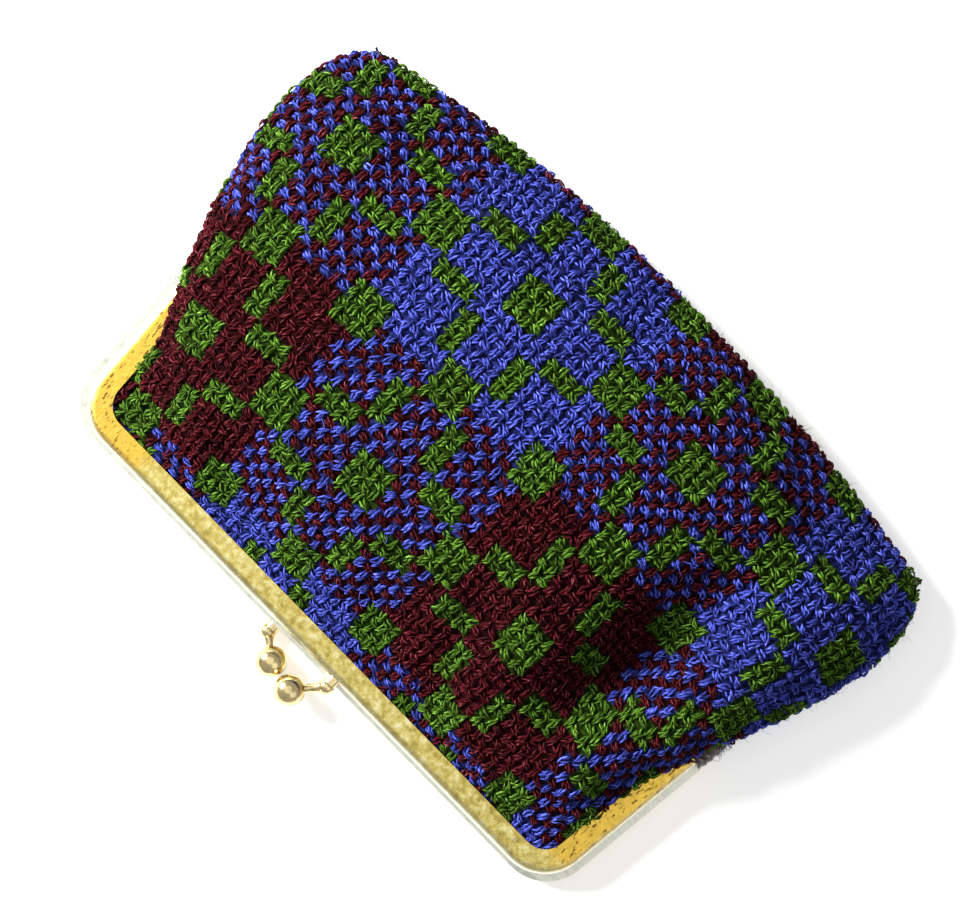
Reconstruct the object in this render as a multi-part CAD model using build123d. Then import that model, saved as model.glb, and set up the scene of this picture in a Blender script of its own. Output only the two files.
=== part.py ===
from build123d import *
import os
from math import cos, radians, tan

# A clasp-frame coin purse, lying shut on its back. Millimetres, +Z up.
# Built with y = 0 at the outer edge of the rear frame's bar, +Y towards the bottom fold and z = 0
# under the back. The last step moves the origin to the bottom centre of the whole purse.

# ---- metal frame: two pressed U channels, one over the other -------------------------------
sheet = 0.5                 # sheet metal of the channels
face_width = 4.9            # visible outer wall of a channel
back_width = 4.0            # wall that faces the other channel
frame_gap = 0.2             # between the two shut channels
front_half_width = 62.85    # outer half width of the front frame where the bar meets the legs
rim_bar = 1.0               # how far the rear bar shows beyond the front bar
rim_leg = 1.5               # how far the rear legs show beyond the front legs
leg_splay = 4.8             # degrees, each leg outwards
corner_radius = 9.5         # outer corner of a frame
edge_round = 1.8            # rolled outer edge of a channel
leg_length = 38.6           # from the rear bar's outer edge to the cut end of the channels

# ---- cloth, lining and packing cord ---------------------------------------------------------
cloth_thickness = 1.8       # double woven wool
tucked_thickness = 1.2      # the same wool, pressed in the channel
lining_thickness = 0.4
lining_gap = 0.9            # room between wool and lining
tuck_depth = 1.5            # edge of the tucked cloth, in from the frame's outer line
tuck_lap = 1.0              # how far the pressed wool runs on past the channel's visible wall
tuck_clearance = 0.1
tuck_end = 2.4              # tucked edges stop short of the cut ends of the channels
cord_diameter = 0.8
cord_inset = 2.4            # middle of the packing cord, in from the frame's outer line
panel_clearance = 0.3       # between loose cloth and metal, and between moving cloths

# ---- hinges -----------------------------------------------------------------------------
hinge_reach = 4.6           # from the cut ends of the channels to the rivets
ear_radius = 3.1
ear_sheet = 0.8
ear_gap = 0.15              # between the two ears
ear_inset = 1.85            # inner ear, in from the front leg's outer line at its end
ear_overlap = 1.6           # how far an ear runs into its channel
rivet_radius = 1.0
rivet_clearance = 0.05
rivet_head_radius = 1.9
rivet_head_height = 0.75
rivet_head_gap = 0.1

# ---- clasp: one ball on each frame ----------------------------------------------------------
ball_radius = 3.05
ball_clearance = 0.12       # between the two balls as one lifts past the other
ball_floor_gap = 0.25       # rear ball above the surface the purse lies on
ball_step = 1.9             # front ball above the rear one
front_ball_reach = 6.4      # ball middle beyond the rear bar
rear_ball_reach = 5.3
foot_spread = 7.5           # each foot from the middle of the bar
foot_radius = 1.4
foot_height = 1.6           # middle of the foot from the parting face of its channel
foot_length = 1.9
shoulder_radius = 1.6       # round end of the foot, where the neck turns towards the ball
neck_radius = 0.8
waist_share = 0.42          # thinnest part of the neck, as a share of the way to the ball's middle
ball_root_radius = 1.5
tail_radius = 0.8           # shank of the knob through the channel's edge
tail_head_radius = 1.15
tail_head_height = 0.45
knob_seat = 0.9             # how far the foot is let into the rolled edge

# ---- the bag ------------------------------------------------------------------------------
flap_end = 20.0             # front cloth that swings with the front frame
mouth_gap = 0.5             # the sewn pouch begins this far past the hinge ears
hinge_cover = 1.35          # pouch beside the rivets' outer heads
pouch_depth = 50.1          # from the mouth of the pouch to the lowest point of the bottom fold
side_swell = 7.4            # how far the sides swell out beyond the hinges
swell_share = 0.46          # place of the widest point, as a share of the pouch's depth
corner_swell = 4.0          # bottom corners beyond the hinges
left_corner_rise = 8.7      # the fold sags a little lower on the right
right_corner_rise = 5.3
bottom_corner_radius = 6.0
seam_height = 7.0           # side seams above the table
crown_rise = 23.5           # thickness of the stuffed bag
crown_lead = 18.0           # thickest point, this far before the widest one
crown_power = 2.2           # how quickly the front swells from the bar
fold_power = 2.2            # how roundly it falls to the bottom fold
fold_flatness = 0.02        # keeps the fold a little thicker than the side seams
section_shoulder = 0.78     # share of the half width where the top starts to roll over
shoulder_rise = 0.66        # share of the rise that is reached there
pouch_sections = 9          # steps from the mouth to the fold
section_spread = 0.7        # under 1, the steps close up towards the fold
mouth_side_gap = 0.8        # loose front cloth inside the legs and ears

# ---- seam threads -------------------------------------------------------------------------
stitch_length = 2.4
stitch_diameter = 0.4
stitch_count = 9
seam_start_share = 0.1      # first and last stitch, as shares of the side from mouth to fold
seam_end_share = 0.72

# ---- working allowances for cuts and lofts ---------------------------------------------------
overcut = 1.0               # how far a cutting block runs past what it cuts
inner_drop = 9.0            # how far a skin's inner loft reaches below its edge
dome_share = 0.7            # share of a rivet head's height that is rounded

# ---- derived places -----------------------------------------------------------------------
splay = radians(leg_splay)
rear_half_width = front_half_width + rim_leg
cloth_top = sheet + tuck_clearance + tucked_thickness
cloth_floor = cloth_top - cloth_thickness
lining_floor = cloth_top + tuck_clearance / 2
cord_z = lining_floor + lining_thickness + cord_diameter / 2 + tuck_clearance / 4
channel_depth = cord_z + cord_diameter / 2 + tuck_clearance / 4 + sheet
front_base_z = channel_depth + frame_gap
parting_z = channel_depth + frame_gap / 2
frame_top_z = front_base_z + channel_depth
cloth_tuck_z = frame_top_z - cloth_top
lining_tuck_z = frame_top_z - lining_floor - lining_thickness
hinge_y = leg_length + hinge_reach
leg_end_half_width = front_half_width + (leg_length - rim_bar) * tan(splay)
front_ear_x = leg_end_half_width - ear_inset
rear_ear_x = front_ear_x + ear_sheet + ear_gap
rivet_inner_x = front_ear_x - rivet_head_gap - rivet_head_height
rivet_outer_x = rear_ear_x + ear_sheet + rivet_head_height
mouth_end = hinge_y + ear_radius + mouth_gap
pouch_start_half_width = rivet_outer_x + hinge_cover
bag_half_width = pouch_start_half_width + side_swell
corner_half_width = pouch_start_half_width + corner_swell
fold_y = mouth_end + pouch_depth
widest_y = mouth_end + swell_share * pouch_depth
crown_y = widest_y - crown_lead
left_corner_y = fold_y - left_corner_rise
right_corner_y = fold_y - right_corner_rise
lining_inset = cloth_thickness + lining_gap
stitch_z = seam_height - lining_inset


def frame_region(bar_y, half_width, inset, end_y):
    """Area inside a frame's outer line, moved in by inset: a bar, two splayed legs, round corners."""
    first_y = bar_y + inset
    near = half_width + inset * tan(splay) - inset / cos(splay)
    far = half_width + (end_y - bar_y) * tan(splay) - inset / cos(splay)
    area = make_face(Polyline((-near, first_y), (near, first_y), (far, end_y), (-far, end_y), close=True))
    radius = max(corner_radius - inset, sheet)
    return fillet(area.vertices().group_by(Axis.Y)[0], radius)


def plate(bar_y, half_width, inset, end_y, low, high):
    """The area inside a frame line as a flat plate between two heights."""
    return Pos(0, 0, low) * extrude(frame_region(bar_y, half_width, inset, end_y), high - low)


def rolled_plate(bar_y, half_width, inset, end_y, depth, radius):
    """A plate whose upper outer edge is rolled over along the bar and both legs."""
    block = plate(bar_y, half_width, inset, end_y, 0, depth)
    rim = block.edges().group_by(Axis.Z)[-1].sort_by(lambda edge: edge.center().Y)[:-1]
    return fillet(rim, radius)


def channel(bar_y, half_width):
    """A pressed channel with its visible wall on top, open towards the inside of the frame."""
    walls = rolled_plate(bar_y, half_width, 0, leg_length, channel_depth, edge_round)
    cut_y = leg_length + overcut
    walls -= plate(bar_y, half_width, face_width, cut_y, channel_depth - sheet, channel_depth + overcut)
    walls -= plate(bar_y, half_width, back_width, cut_y, -overcut, channel_depth - sheet)
    hollow_depth = channel_depth - 2 * sheet
    hollow = rolled_plate(bar_y, half_width, sheet, cut_y, hollow_depth, edge_round - sheet)
    hollow -= plate(bar_y, half_width, face_width + overcut, cut_y + overcut, -overcut, channel_depth)
    return walls - Pos(0, 0, sheet) * hollow


def ear(side, inner_x, low):
    """Upright hinge ear at a leg's end: a disc round the rivet and a strip into the channel."""
    disc = Pos(hinge_y, parting_z) * Circle(ear_radius)
    strip_start = leg_length - ear_overlap
    strip = Pos((strip_start + hinge_y) / 2, low + channel_depth / 2) * Rectangle(
        hinge_y - strip_start, channel_depth - 2 * sheet)
    hole = Pos(hinge_y, parting_z) * Circle(rivet_radius + rivet_clearance)
    start = inner_x if side > 0 else -inner_x - ear_sheet
    return extrude(Plane((start, 0, 0), x_dir=(0, 1, 0), z_dir=(1, 0, 0)) * (disc + strip - hole), ear_sheet)


def frame_ring(bar_y, half_width, first_inset, last_inset, end_y, low, high):
    """A flat band that follows the frame between two insets."""
    band = plate(bar_y, half_width, first_inset, end_y, low, high)
    return band - plate(bar_y, half_width, last_inset, end_y + overcut, low - overcut, high + overcut)


def packing_cord(bar_y, half_width, z):
    """Round cord that wedges the tucked cloth, down one leg, along the bar and up the other."""
    end_y = leg_length - tuck_end
    near = half_width + cord_inset * tan(splay) - cord_inset / cos(splay)
    far = half_width + (end_y - bar_y) * tan(splay) - cord_inset / cos(splay)
    first_y = bar_y + cord_inset
    path = FilletPolyline((-far, end_y, z), (-near, first_y, z), (near, first_y, z), (far, end_y, z),
                          radius=corner_radius - cord_inset)
    section = Plane(path @ 0, z_dir=path % 0) * Circle(cord_diameter / 2)
    return sweep(section, path=path)


def rivet(side):
    """Hinge rivet through both ears, a domed head at each end."""
    inner_face = front_ear_x - rivet_head_gap
    outer_face = rear_ear_x + ear_sheet
    shank = Cylinder(rivet_radius, outer_face - inner_face, align=(Align.CENTER, Align.CENTER, Align.MIN))
    head = Cylinder(rivet_head_radius, rivet_head_height, align=(Align.CENTER, Align.CENTER, Align.MIN))
    head = fillet(head.edges().group_by(Axis.Z)[-1], rivet_head_height * dome_share)
    body = shank + Pos(0, 0, outer_face - inner_face) * head + Rot(180, 0, 0) * head
    turn = 90 if side > 0 else -90
    return Pos(side * inner_face, hinge_y, parting_z) * Rot(0, turn, 0) * body


def knob(foot, ball):
    """Clasp knob: a foot on the frame's edge, a waisted neck to the ball, a riveted tail."""
    foot = Vector(*foot)
    ball = Vector(*ball)
    shoulder = foot - Vector(0, foot_length, 0)
    outward = Plane(foot, x_dir=(1, 0, 0), z_dir=(0, -1, 0))
    stub = Pos(0, 0, -knob_seat) * Cylinder(
        foot_radius, foot_length + knob_seat, align=(Align.CENTER, Align.CENTER, Align.MIN))
    tail = Pos(0, 0, -sheet - tail_head_height) * Cylinder(
        tail_radius, sheet + tail_head_height, align=(Align.CENTER, Align.CENTER, Align.MIN))
    tail_head = Pos(0, 0, -sheet - tail_head_height) * Cylinder(
        tail_head_radius, tail_head_height, align=(Align.CENTER, Align.CENTER, Align.MIN))
    reach = (ball - shoulder).length
    side_line = ThreePointArc((foot_radius, 0), (neck_radius, reach * waist_share), (ball_root_radius, reach))
    half = make_face(side_line + Polyline((ball_root_radius, reach), (0, reach), (0, 0), (foot_radius, 0)))
    neck_plane = Plane(shoulder, x_dir=(0, 0, 1), z_dir=ball - shoulder)
    neck = neck_plane * Rot(90, 0, 0) * revolve(half, Axis.Y)
    return (outward * (stub + tail + tail_head) + Pos(shoulder) * Sphere(shoulder_radius) + neck
            + Pos(ball) * Sphere(ball_radius))


def section(y, half_width, edge_z, crown_z, floor_z):
    """Closed section of the bag across X: a stuffed top rolling over to straight sides."""
    rise = crown_z - edge_z
    shoulder_x = section_shoulder * half_width
    shoulder_z = edge_z + shoulder_rise * rise
    top = Spline((half_width, y, edge_z), (shoulder_x, y, shoulder_z), (0, y, crown_z),
                 (-shoulder_x, y, shoulder_z), (-half_width, y, edge_z))
    base = Polyline((-half_width, y, edge_z), (-half_width, y, floor_z), (half_width, y, floor_z),
                    (half_width, y, edge_z))
    return make_face(top + base)


def crown_at(y):
    """Height of the stuffed bag's top along its middle: rising from the bar, round at the fold."""
    start = cloth_tuck_z + tucked_thickness
    bar_inner_y = rim_bar + face_width
    if y < crown_y:
        share = (y - bar_inner_y) / (crown_y - bar_inner_y)
        return start + (crown_rise - start) * (1 - (1 - share) ** crown_power)
    share = (y - crown_y) / (fold_y - crown_y)
    return seam_height + (crown_rise - seam_height) * max(fold_flatness, 1 - share ** fold_power) ** 0.5


def leg_inner(y, inset):
    """Half width inside the front legs at y."""
    return front_half_width + (y - rim_bar) * tan(splay) - inset / cos(splay)


def stuffed_block(stations, inset, floor_z):
    """Loft through the pouch's sections at (y, half width) stations, all moved in by inset."""
    return loft([section(y, half_width - inset, seam_height - inset, crown_at(y) - inset, floor_z)
                 for y, half_width in stations], ruled=True)


def front_panel(start, end, side_gap, inset, low, edge, thickness):
    """Part of the loose front cloth between the frame's legs: a domed skin, open underneath."""
    widest = rivet_inner_x - mouth_side_gap
    ys = [start + (end - start) * share for share in (0, 1 / 3, 2 / 3, 1)]
    widths = [min(leg_inner(y, face_width + side_gap), widest) - inset for y in ys]
    crowns = [max(crown_at(y) - inset, edge + panel_clearance) for y in ys]
    outer = loft([section(y, width, edge, crown, low) for y, width, crown in zip(ys, widths, crowns)])
    inner_ys = (ys[0] - overcut, ys[1], ys[2], ys[3] + overcut)
    inner = loft([section(y, width - thickness, low, crown - thickness, low - inner_drop)
                  for y, width, crown in zip(inner_ys, widths, crowns)])
    trim_end = mouth_end + overcut
    trim = plate(rim_bar, front_half_width, face_width + side_gap, trim_end, low, crown_rise + overcut)
    return (outer - inner) & trim


def front_cloth():
    """Wool that swings with the front frame: its edge tucked in the channel, then the domed flap."""
    tuck = frame_ring(rim_bar, front_half_width, tuck_depth, face_width + tuck_lap, leg_length - tuck_end,
                      cloth_tuck_z, cloth_tuck_z + tucked_thickness)
    start = rim_bar + face_width + panel_clearance
    return tuck + front_panel(start, flap_end, panel_clearance, 0, cloth_tuck_z,
                              cloth_tuck_z + tucked_thickness, cloth_thickness)


def front_fold_cloth():
    """Wool between the swinging flap and the pouch, which folds as the mouth opens."""
    return front_panel(flap_end + panel_clearance, mouth_end - panel_clearance, tuck_lap + panel_clearance, 0,
                       cloth_tuck_z, cloth_tuck_z + tucked_thickness, cloth_thickness)


def front_lining():
    """Lining behind the flap, tucked in the channel beside the wool."""
    width = face_width + panel_clearance + lining_inset + 2 * lining_gap
    tuck = frame_ring(rim_bar, front_half_width, tuck_depth, width, leg_length - tuck_end,
                      lining_tuck_z, lining_tuck_z + lining_thickness)
    flap_space = Box(4 * front_half_width, flap_end - rim_bar, 4 * frame_top_z)
    tuck &= Pos(0, (flap_end + rim_bar) / 2, 0) * flap_space
    start = rim_bar + face_width + panel_clearance + lining_inset + lining_gap
    return tuck + front_panel(start, flap_end, panel_clearance, lining_inset + lining_gap, lining_tuck_z,
                              lining_tuck_z + lining_thickness, lining_thickness)


def front_fold_lining():
    """Lining behind the folding strip of wool."""
    return front_panel(flap_end + panel_clearance, mouth_end - panel_clearance, tuck_lap + panel_clearance,
                       lining_inset + lining_gap, lining_tuck_z, lining_tuck_z + lining_thickness,
                       lining_thickness)


def back_cloth():
    """Wool of the back, flat under the rear frame's opening, its edge tucked in the rear channel."""
    tuck = frame_ring(0, rear_half_width, tuck_depth, face_width + tuck_lap, leg_length - tuck_end,
                      cloth_top - tucked_thickness, cloth_top)
    return tuck + plate(0, rear_half_width, face_width + panel_clearance, mouth_end, cloth_floor, cloth_top)


def back_lining():
    """Lining lying on the back cloth, tucked in the rear channel with it."""
    top = lining_floor + lining_thickness
    tuck = frame_ring(0, rear_half_width, tuck_depth, face_width + tuck_lap, leg_length - tuck_end,
                      lining_floor, top)
    return tuck + plate(0, rear_half_width, face_width + panel_clearance, mouth_end, lining_floor, top)


def bag_outline(inset):
    """Plan of the sewn pouch below the hinges, moved in by inset, with its sagging bottom fold."""
    start = pouch_start_half_width - inset
    widest = bag_half_width - inset
    corner = corner_half_width - inset
    left_y = left_corner_y - inset
    right_y = right_corner_y - inset
    left = ThreePointArc((-start, mouth_end), (-widest, widest_y), (-corner, left_y))
    fold = ThreePointArc((-corner, left_y), (0, fold_y - inset), (corner, right_y))
    right = ThreePointArc((corner, right_y), (widest, widest_y), (start, mouth_end))
    area = make_face(left + fold + right + Line((start, mouth_end), (-start, mouth_end)))
    return fillet(area.vertices().group_by(Axis.Y)[-2:], bottom_corner_radius - inset)


def pouch_block(inset, floor_z):
    """Solid space of the pouch, moved in by inset and reaching past the mouth when it is a hollow."""
    overrun = overcut if inset else 0
    first_y = mouth_end - overrun
    shares = [number / pouch_sections for number in range(pouch_sections + 1)]
    section_half_width = bag_half_width + 2 * overcut
    depth = fold_y - first_y
    stations = [(first_y + depth * share ** section_spread, section_half_width) for share in shares]
    plan = bag_outline(inset)
    if overrun:
        plan += Pos(0, mouth_end - overrun / 2) * Rectangle(2 * (pouch_start_half_width - inset), overrun)
    plan_block = Pos(0, 0, floor_z) * extrude(plan, crown_rise + inner_drop)
    return stuffed_block(stations, inset, floor_z) & plan_block


def pouch_cloth():
    """Wool of the sewn pouch: back, bottom fold, both sides and the lower front, open at the mouth."""
    return pouch_block(0, cloth_floor) - pouch_block(cloth_thickness, cloth_top)


def pouch_lining():
    """Lining of the pouch, free of the wool at the sides, top and fold."""
    pouch_space = Pos(0, mouth_end + fold_y, 0) * Box(4 * bag_half_width, 2 * fold_y, 4 * crown_rise)
    outer = pouch_block(lining_inset, lining_floor) & pouch_space
    return outer - pouch_block(lining_inset + lining_thickness, lining_floor + lining_thickness)


def seam_thread(side):
    """Row of stitches that closes one side of the pouch, between wool and lining."""
    edges = bag_outline(cloth_thickness + lining_gap / 2).edges().sort_by(Axis.X)
    seam = edges[-1] if side > 0 else edges[0]
    step = (seam_end_share - seam_start_share) / (stitch_count - 1)
    from_mouth = [seam_start_share + step * number for number in range(stitch_count)]
    shares = from_mouth if (seam @ 0).Y < (seam @ 1).Y else [1 - share for share in from_mouth]
    thread = Cylinder(stitch_diameter / 2, stitch_length)
    return [Pos(0, 0, stitch_z) * Location(Plane(seam @ share, z_dir=seam % share)) * thread
            for share in shares]


def build_nodes():
    """Every separate piece of the purse, by name."""
    rear_channel = Pos(0, 0, channel_depth) * Rot(0, 180, 0) * channel(0, rear_half_width)
    front_channel = Pos(0, 0, front_base_z) * channel(rim_bar, front_half_width)
    rear_ball_z = ball_radius + ball_floor_gap
    rear_knob = knob((-foot_spread, 0, channel_depth - foot_height),
                     (-ball_radius, -rear_ball_reach, rear_ball_z))
    front_knob = knob((foot_spread, rim_bar, front_base_z + foot_height),
                      (ball_radius + ball_clearance, -front_ball_reach, rear_ball_z + ball_step))
    return {
        "rear_frame": rear_channel + ear(-1, rear_ear_x, 0) + ear(1, rear_ear_x, 0) - rear_knob,
        "front_frame": front_channel + ear(-1, front_ear_x, front_base_z) + ear(1, front_ear_x, front_base_z)
        - front_knob,
        "left_hinge_rivet": rivet(-1),
        "right_hinge_rivet": rivet(1),
        "rear_clasp_knob": rear_knob,
        "front_clasp_knob": front_knob,
        "rear_packing_cord": packing_cord(0, rear_half_width, cord_z),
        "front_packing_cord": packing_cord(rim_bar, front_half_width, frame_top_z - cord_z),
        "back_cloth": back_cloth(),
        "pouch_cloth": pouch_cloth(),
        "front_cloth": front_cloth(),
        "front_fold_cloth": front_fold_cloth(),
        "back_lining": back_lining(),
        "pouch_lining": pouch_lining(),
        "front_lining": front_lining(),
        "front_fold_lining": front_fold_lining(),
        "left_seam_thread": seam_thread(-1),
        "right_seam_thread": seam_thread(1),
    }


def main():
    """Build every piece, put the origin at the bottom centre and write one file for each."""
    os.makedirs("parts", exist_ok=True)
    nodes = build_nodes()
    for name, shape in nodes.items():
        if isinstance(shape, list):
            nodes[name] = Compound(shape)
    box = Compound(list(nodes.values())).bounding_box()
    centre = Pos(-box.center().X, -box.center().Y, -box.min.Z)
    for name, shape in nodes.items():
        export_step(centre * shape, f"parts/{name}.step")
    print("box", box.size, "origin moved by", -box.center().X, -box.center().Y, -box.min.Z)
    print("hinge axis at y", hinge_y - box.center().Y, "z", parting_z - box.min.Z)


main()
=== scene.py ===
import math

import bpy
import numpy as np
from mathutils.kdtree import KDTree
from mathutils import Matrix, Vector


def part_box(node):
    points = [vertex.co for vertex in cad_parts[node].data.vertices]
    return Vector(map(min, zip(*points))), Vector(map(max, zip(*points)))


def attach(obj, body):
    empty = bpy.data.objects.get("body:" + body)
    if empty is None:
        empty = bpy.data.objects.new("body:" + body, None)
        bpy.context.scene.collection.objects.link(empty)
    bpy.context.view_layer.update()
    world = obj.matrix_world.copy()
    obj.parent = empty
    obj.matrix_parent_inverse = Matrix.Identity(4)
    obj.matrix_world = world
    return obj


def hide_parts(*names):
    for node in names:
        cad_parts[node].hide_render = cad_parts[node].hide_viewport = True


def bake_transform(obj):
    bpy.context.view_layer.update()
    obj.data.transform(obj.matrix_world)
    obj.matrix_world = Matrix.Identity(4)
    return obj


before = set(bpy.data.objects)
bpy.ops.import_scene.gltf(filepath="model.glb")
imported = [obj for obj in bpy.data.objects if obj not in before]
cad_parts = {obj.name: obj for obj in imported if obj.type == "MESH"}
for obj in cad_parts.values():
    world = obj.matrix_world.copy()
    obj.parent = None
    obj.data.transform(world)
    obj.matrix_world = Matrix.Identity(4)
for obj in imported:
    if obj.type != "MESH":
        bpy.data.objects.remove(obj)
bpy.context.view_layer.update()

bl_info = {
    "name": "Woven Clasp Purse",
    "version": (1, 0, 0),
    "blender": (4, 5, 0),
    "location": "View3D > Sidebar > Clasp Purse",
    "description": "Wool, lining, thread and worn gilt for a clasp-frame coin purse",
    "category": "Object",
}

# Shapes are worked out in millimetres and written to meshes in metres.
MM = 0.001
RNG_SEED = 1967


def node_box(name):
    """Lowest and highest corners of a CAD node, in millimetres."""
    low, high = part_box(name)
    return np.array(low) / MM, np.array(high) / MM


FACE_WIDTH = 4.9          # visible wall of a pressed channel
FRONT_INNER_Y = node_box("front_frame")[0][1] + FACE_WIDTH
REAR_INNER_Y = node_box("rear_frame")[0][1] + FACE_WIDTH
FOLD_Y, POUCH_TOP = node_box("pouch_cloth")[1][1:]
HINGE_Y = sum(corner[1] for corner in node_box("right_hinge_rivet")) / 2
CROWN_Y = 8.1             # where the stuffed front stands highest
CROWN_Z = POUCH_TOP - 0.6


class PurseSizes(bpy.types.PropertyGroup):
    """Sizes of the cloth, its yarn and the stray fibres."""

    warp_pitch: bpy.props.FloatProperty(
        name="Warp pitch", description="Distance between neighbouring warp yarns",
        default=2.0 * MM, min=0.5 * MM, max=5 * MM, unit="LENGTH")
    weft_pitch: bpy.props.FloatProperty(
        name="Weft pitch", description="Distance between neighbouring weft yarns",
        default=2.2 * MM, min=0.5 * MM, max=5 * MM, unit="LENGTH")
    yarn_width: bpy.props.FloatProperty(
        name="Yarn width", description="Width of one float of yarn",
        default=1.42 * MM, min=0.3 * MM, max=4 * MM, unit="LENGTH")
    yarn_height: bpy.props.FloatProperty(
        name="Yarn height", description="How far a float stands above the middle of the cloth",
        default=0.5 * MM, min=0.1 * MM, max=2 * MM, unit="LENGTH")
    strand_radius: bpy.props.FloatProperty(
        name="Strand radius", description="Half thickness of one strand of a yarn",
        default=0.27 * MM, min=0.05 * MM, max=1 * MM, unit="LENGTH")
    twist: bpy.props.FloatProperty(
        name="Twist", description="Slant of the strands across the yarn",
        default=math.radians(-24), subtype="ANGLE")
    stray_fibres: bpy.props.IntProperty(
        name="Stray fibres", description="Loose wool hairs on one side of the purse",
        default=7500, min=0, max=20000)
    lining_gap: bpy.props.FloatProperty(
        name="Lining gap", description="How far the lining hangs behind the wool",
        default=2.7 * MM, min=1 * MM, max=6 * MM, unit="LENGTH")


class PurseColours(bpy.types.PropertyGroup):
    """Colours of the yarns, lining, metal and floor."""

    blue: bpy.props.FloatVectorProperty(
        name="Blue wool", description="Violet-blue yarn of the striped layer",
        subtype="COLOR", size=3, min=0, max=1, default=(0.042, 0.056, 0.33))
    maroon: bpy.props.FloatVectorProperty(
        name="Maroon wool", description="Dark red yarn of the striped layer",
        subtype="COLOR", size=3, min=0, max=1, default=(0.047, 0.0022, 0.0050))
    green: bpy.props.FloatVectorProperty(
        name="Green wool", description="Moss green yarn of the plain layer",
        subtype="COLOR", size=3, min=0, max=1, default=(0.045, 0.103, 0.008))
    lining: bpy.props.FloatVectorProperty(
        name="Lining", description="Dark brown satin lining",
        subtype="COLOR", size=3, min=0, max=1, default=(0.045, 0.018, 0.012))
    gilt: bpy.props.FloatVectorProperty(
        name="Gilt", description="Yellow plating of the frame",
        subtype="COLOR", size=3, min=0, max=1, default=(0.72, 0.48, 0.075))
    # Pale colour of the frames' rims: partly rubbed plating, partly a painted reflection of the bright room.
    rubbed_and_reflecting: bpy.props.FloatVectorProperty(
        name="Worn metal", description="Silvery metal where the plating has rubbed off",
        subtype="COLOR", size=3, min=0, max=1, default=(0.60, 0.61, 0.52))
    floor: bpy.props.FloatVectorProperty(
        name="Floor", description="Plain pale floor",
        subtype="COLOR", size=3, min=0, max=1, default=(0.93, 0.93, 0.925))


# ---- shape of the stuffed bag ---------------------------------------------------------------

def smooth_line(points):
    """Smooth curve through (place, value) points, as a function of the place."""
    places = np.array([point[0] for point in points], float)
    values = np.array([point[1] for point in points], float)
    steps = np.diff(places)
    slopes = np.diff(values) / steps
    tangents = np.concatenate(([slopes[0]], (slopes[:-1] + slopes[1:]) / 2, [slopes[-1]]))

    def value_at(place):
        place = np.clip(place, places[0], places[-1])
        index = np.clip(np.searchsorted(places, place) - 1, 0, len(steps) - 1)
        step = steps[index]
        t = (place - places[index]) / step
        return ((1 + 2 * t) * (1 - t) ** 2 * values[index] + t * (1 - t) ** 2 * step * tangents[index]
                + t * t * (3 - 2 * t) * values[index + 1] + t * t * (t - 1) * step * tangents[index + 1])

    return value_at


# Half width of the wool on each side, from the bar to the bottom corner. The left side rolls
# over the upper leg; the right side stays inside the leg until just before the hinge.
FRONT_LEFT = smooth_line([(-45, 58.1), (-38, 58.6), (-28, 59.3), (-21, 60.0), (-15, 62.6), (-9, 65.4),
                          (-2, 68.3), (5, 71.2), (12, 73.0), (22, 75.0), (30, 75.4), (37, 74.4),
                          (41, 72.7), (44, 70.0)])
FRONT_RIGHT = smooth_line([(-45, 58.1), (-38, 58.6), (-28, 59.4), (-18, 60.2), (-11, 61.6), (-6, 63.4),
                           (-1, 64.6), (3, 66.9), (8, 68.8), (15, 71.4), (25, 74.0), (34, 75.0),
                           (40, 74.2), (44, 72.6), (47, 70.0)])
BACK_SIDE = smooth_line([(-45, 60.0), (-38, 60.6), (-20, 62.0), (-8, 63.0), (-2, 65.0), (3, 67.2)])
# Height of the wool's edge: pressed under the frame's wall, over the legs, then the side seam.
FRONT_EDGE_LEFT = smooth_line([(-45, 6.0), (-26, 6.1), (-19, 7.6), (-12, 8.6), (-3, 8.4), (5, 6.8),
                               (60, 6.2)])
FRONT_EDGE_RIGHT = smooth_line([(-45, 6.0), (-20, 6.1), (-12, 7.4), (-6, 8.6), (0, 8.6), (6, 6.9),
                                (60, 6.2)])
BACK_EDGE = smooth_line([(-45, 1.1), (-12, 1.2), (-4, 2.2), (3, 4.6), (10, 5.2), (60, 5.2)])
LEFT_CORNER_Y = 44.6
RIGHT_CORNER_Y = 47.4
SECTION_POWER = 2.2       # roundness of the front across and along the bag: 2 is an ellipse
BACK_POWER = 9.0          # the same for the back, which is nearly flat
CORNER_POWER = 1.8        # how the bottom fold sags from its corners to the middle
FOLD_RADIUS = 6.0
BACK_Z = 1.15
BAR_Z = 6.0               # the wool leaves the front bar at this height
SEAM_Z = 6.3              # the front meets the back along the fold at this height
FRONT_TUCK = 1.4          # the wool starts this far inside the front bar's wall
BACK_TUCK = 1.2           # the same at the rear bar

# Places of the wefts along the middle of the front: beaten closer at the bar and at the fold.
WEFT_PLACES = smooth_line([(-6, -46.5), (-3, -38.9), (1.5, -30.6), (11.5, -11.2), (21.5, 11.1),
                           (31.5, 31.8), (39.5, 47.6), (42.0, 51.6), (45.0, 53.3)])
WEFT_ARCH = 0.05          # the sides lag behind the middle by this share of the way from the bar
WEFT_SKEW = 1.3           # wefts near the bar slope down to the right
WEFT_DROOP = 6.0          # how far the sides of a weft hang back towards the bar
DROOP_FADE = (110, 60)    # the droop is gone this far from the bar, and whole this much nearer
RIGHT_PULL = 2.6          # warps right of the middle lie this far to the left near the fold
WARP_FAN = 0.0036         # the warps spread towards the fold by this share for each weft
EDGE_REACH = 0.6          # a weft still lies on the cloth this far past its end


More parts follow.
